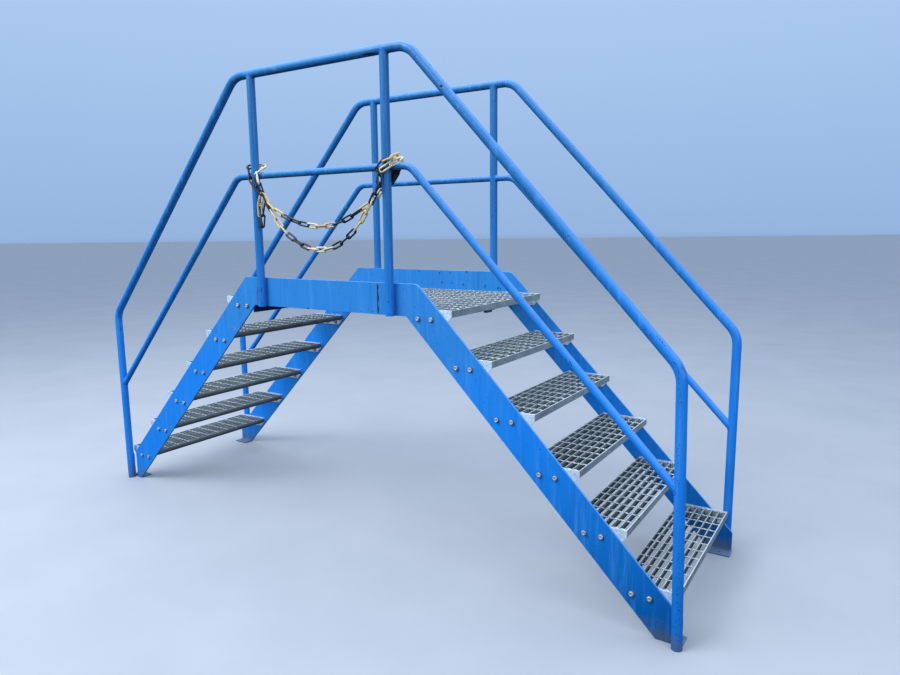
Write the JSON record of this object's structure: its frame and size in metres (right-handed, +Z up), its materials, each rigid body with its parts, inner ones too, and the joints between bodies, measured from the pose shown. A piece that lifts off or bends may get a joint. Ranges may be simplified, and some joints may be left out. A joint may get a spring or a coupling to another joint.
{
  "type": "crossover stairs",
  "caption": "Painted steel step-over stairs: a flight of grating treads up each side to a small platform, a bent-tube handrail with mid rail along both sides, feet drilled for anchors.",
  "frame": {"origin": "on the floor, midway between the four corners of the stairs", "axes": "+X along the walking direction, +Y across the steps, +Z up"},
  "size_m": [3.5846, 1.0419, 2.3963],
  "materials": {
    "blue_paint": "gloss blue enamel with chips and dirt towards the feet",
    "galvanised_steel": "weathered hot-dip zinc",
    "chain_plastic": "sun-faded yellow and black plastic",
    "fastener_zinc": "zinc-plated bolts and washers"
  },
  "bodies": {
    "root": {"stringer_near_left": "blue_paint", "stringer_near_right": "blue_paint", "stringer_far_left": "blue_paint", "stringer_far_right": "blue_paint", "platform_side_near": "blue_paint", "platform_side_far": "blue_paint", "platform_grating": "galvanised_steel", "platform_bearer_left": "blue_paint", "platform_bearer_right": "blue_paint", "platform_ledge_near": "blue_paint", "platform_ledge_far": "blue_paint", "top_step_left": "galvanised_steel", "top_step_right": "galvanised_steel", "tread_left_1": "galvanised_steel", "tread_left_2": "galvanised_steel", "tread_left_3": "galvanised_steel", "tread_left_4": "galvanised_steel", "tread_left_5": "galvanised_steel", "tread_right_1": "galvanised_steel", "tread_right_2": "galvanised_steel", "tread_right_3": "galvanised_steel", "tread_right_4": "galvanised_steel", "tread_right_5": "galvanised_steel", "tread_ends_left": "galvanised_steel", "tread_ends_right": "galvanised_steel", "handrail_near": "blue_paint", "handrail_far": "blue_paint", "post_near_left": "blue_paint", "post_near_right": "blue_paint", "post_far_left": "blue_paint", "post_far_right": "blue_paint", "mid_rail_near_left": "blue_paint", "mid_rail_near_middle": "blue_paint", "mid_rail_near_right": "blue_paint", "mid_rail_far_left": "blue_paint", "mid_rail_far_middle": "blue_paint", "mid_rail_far_right": "blue_paint", "foot_near_left": "blue_paint", "foot_near_right": "blue_paint", "foot_far_left": "blue_paint", "foot_far_right": "blue_paint", "chain_upper": "chain_plastic", "chain_lower": "chain_plastic", "chain_knot_left": "chain_plastic", "chain_knot_right": "chain_plastic"}
  },
  "joints": []
}
